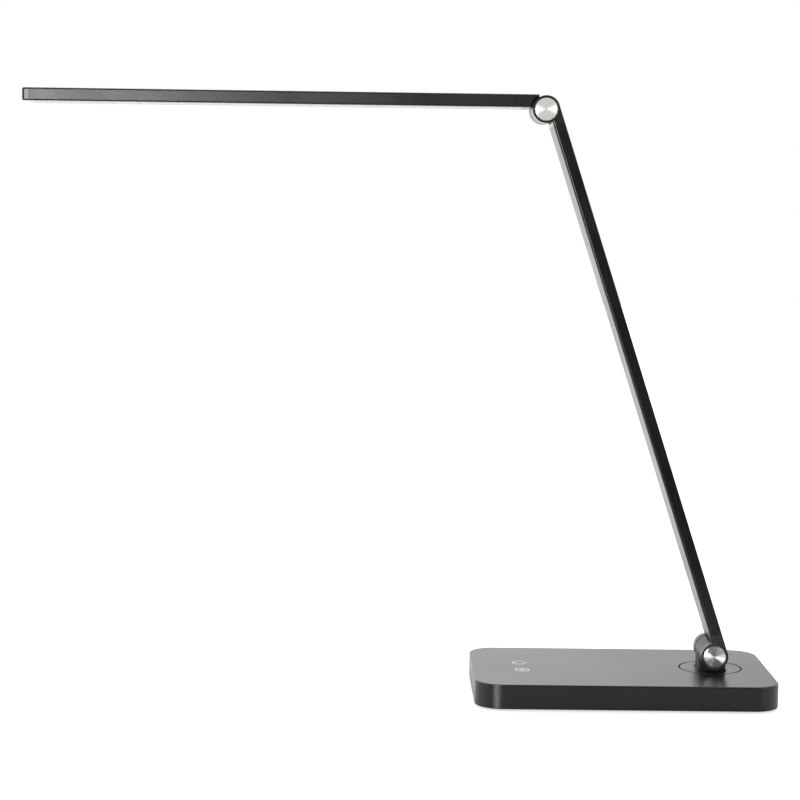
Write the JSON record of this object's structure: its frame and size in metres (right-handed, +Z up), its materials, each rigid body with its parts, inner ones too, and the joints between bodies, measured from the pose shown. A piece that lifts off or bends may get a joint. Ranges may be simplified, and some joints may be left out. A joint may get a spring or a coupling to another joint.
{
  "type": "led desk lamp",
  "caption": "Folding LED desk lamp: flat weighted rounded base with a swivel plate, thin flat arm and thin flat light head on fork hinges with spun metal caps.",
  "frame": {"origin": "centre of the base's pad where it rests on the desk", "axes": "+Z up, -X the way the head reaches over the desk, Y along the hinge axles"},
  "size_m": [0.5251, 0.126, 0.4196],
  "materials": {
    "satin_black_shell": "satin black lacquer",
    "satin_black_steel": "satin black powder coat",
    "satin_black_casting": "satin black painted casting",
    "black_anodised": "satin black anodised",
    "black_plastic": "moulded, fine grain",
    "spun_aluminium": "face spun in fine circles",
    "bare_aluminium": "mill finish, white solder mask",
    "steel": "zinc plated",
    "brass": "plain",
    "bronze": "sintered",
    "rubber_pad": "matt foam rubber",
    "milky_cover": "milky, satin",
    "white_sheet": "matt white film",
    "led_package": "phosphor under clear resin",
    "white_plastic": "natural moulded",
    "board_green": "solder mask",
    "lead_sheath": "soft sheath"
  },
  "bodies": {
    "base": {"base_shell": "satin_black_shell", "base_plate": "satin_black_steel", "foot_pad": "rubber_pad", "ballast_plate": "steel", "base_screws": "steel", "ballast_screws": "steel", "control_board": "board_green", "control_parts": "black_plastic", "control_screws": "steel", "touch_springs": "steel", "dc_jack": "black_plastic", "jack_pin": "brass", "power_lead": "lead_sheath", "lamp_lead": "lead_sheath", "swivel_bush": "white_plastic"},
    "swivel": {"swivel_disc": "satin_black_casting", "hinge_post": "satin_black_casting", "post_lead": "lead_sheath", "thrust_washer": "steel", "swivel_spring": "steel", "swivel_nut": "steel", "lower_bushes": "bronze"},
    "arm": {"lower_fork": "black_anodised", "upper_fork": "black_anodised", "arm_tube": "black_anodised", "arm_cable": "lead_sheath", "lower_fork_screws": "steel", "upper_fork_screws": "steel", "lower_axle": "steel", "lower_disc_springs": "steel", "lower_lock_nut": "steel", "lower_friction_washers": "black_plastic", "lower_near_cap": "spun_aluminium", "lower_far_cap": "spun_aluminium", "upper_axle": "steel", "upper_disc_springs": "steel", "upper_lock_nut": "steel", "upper_friction_washers": "black_plastic", "upper_near_cap": "spun_aluminium", "upper_far_cap": "spun_aluminium"},
    "head": {"upper_bushes": "bronze", "head_knuckle": "black_anodised", "head_housing": "black_anodised", "head_tip_cap": "black_plastic", "head_screws": "steel", "diffuser": "milky_cover", "led_board": "bare_aluminium", "leds": "led_package", "reflector_sheet": "white_sheet", "head_lead": "lead_sheath"}
  },
  "joints": [
    {"name": "swivel_turn", "type": "hinge", "parent": "base", "child": "swivel", "pos_m": [0.0645, 0, 0.018], "axis": [0, 0, 1], "range_deg": [-90, 90]},
    {"name": "arm_tilt", "type": "hinge", "parent": "swivel", "child": "arm", "pos_m": [0.0645, 0, 0.0298], "axis": [0, 1, 0], "range_deg": [-71.7, 48.3]},
    {"name": "head_tilt", "type": "hinge", "parent": "arm", "child": "head", "pos_m": [-0.0611, 0, 0.40957], "axis": [0, 1, 0], "range_deg": [-108.3, 71.7]}
  ]
}
